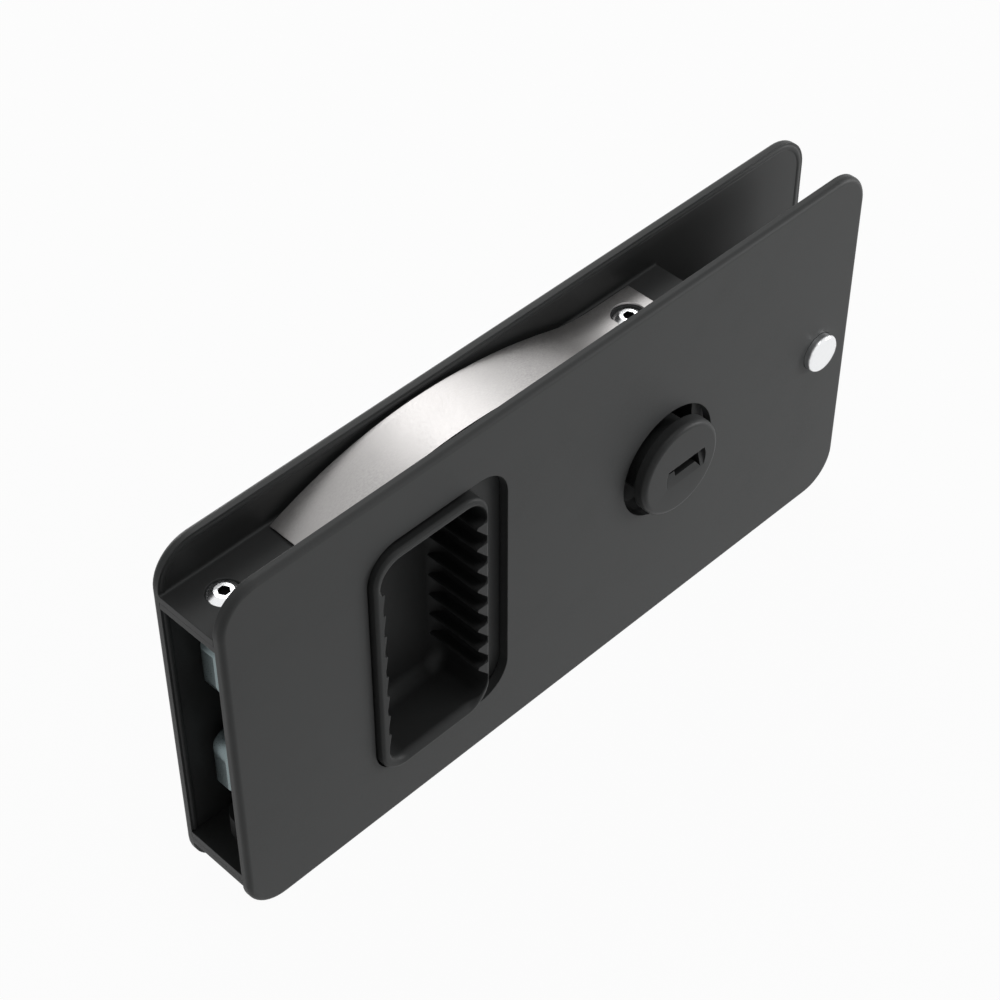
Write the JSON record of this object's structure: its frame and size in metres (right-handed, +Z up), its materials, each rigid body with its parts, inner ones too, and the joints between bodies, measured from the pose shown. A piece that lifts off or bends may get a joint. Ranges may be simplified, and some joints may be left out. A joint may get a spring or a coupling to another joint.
{
  "type": "flush door latch",
  "caption": "Flush door latch with a sliding finger cup that opens two jaws, a round key-lock knob, a bowed leaf spring on top and a fork of two face plates that grips the door panel",
  "frame": {"origin": "on the strike's path in the plane of the mouth, halfway between the face plates", "axes": "+X along the latch into the door panel, +Z up, +Y from the front with the finger cup to the back; the strike comes in along +X"},
  "size_m": [0.197, 0.026, 0.1],
  "materials": {
    "body_black": "satin black powder coat",
    "cup_black": "fine-grained moulded",
    "knob_black": "moulded",
    "stainless": "brushed",
    "leaf_steel": "rolled strip",
    "steel_dark": "plain",
    "zinc": "blue zinc plated",
    "brass": "turned",
    "chrome_screw": "polished",
    "chrome_pin": "polished"
  },
  "bodies": {
    "case": {"front_cover": "body_black", "back_cover": "body_black", "jaw_pivot_pins": "stainless", "return_springs": "stainless", "lock_housing": "cup_black", "housing_screws": "steel_dark", "leaf_spring": "leaf_steel", "case_screws": "chrome_screw", "case_inserts": "brass", "panel_pin": "chrome_pin", "pin_screw": "steel_dark"},
    "slide": {"finger_cup": "cup_black", "slide_plate": "stainless", "slide_screws": "steel_dark"},
    "upper_jaw": {"upper_jaw": "zinc", "upper_follower_pin": "stainless"},
    "lower_jaw": {"lower_jaw": "zinc", "lower_follower_pin": "stainless"},
    "lock": {"lock_knob": "knob_black", "lock_spindle": "stainless", "lock_cam": "stainless", "retaining_ring": "steel_dark"}
  },
  "joints": [
    {"name": "cup_slide", "type": "slide", "parent": "case", "child": "slide", "axis": [1, 0, 0], "range_m": [0, 0.007], "stiffness_N_per_m": 600, "springref_m": -0.005, "deforming": ["return_springs"]},
    {"name": "upper_jaw_pivot", "type": "hinge", "parent": "case", "child": "upper_jaw", "pos_m": [0.022, 0, 0.021], "axis": [0, 1, 0], "range_deg": [0, 16.1]},
    {"name": "lower_jaw_pivot", "type": "hinge", "parent": "case", "child": "lower_jaw", "pos_m": [0.022, 0, -0.021], "axis": [0, -1, 0], "range_deg": [0, 16.1]},
    {"name": "knob_turn", "type": "hinge", "parent": "case", "child": "lock", "pos_m": [0.1315, 0, 0], "axis": [0, 1, 0], "range_deg": [0, 90]}
  ],
  "couplings": [
    {"joint": "upper_jaw_pivot", "follows": "cup_slide", "rad_per_m": 39.893},
    {"joint": "lower_jaw_pivot", "follows": "cup_slide", "rad_per_m": 39.893}
  ]
}
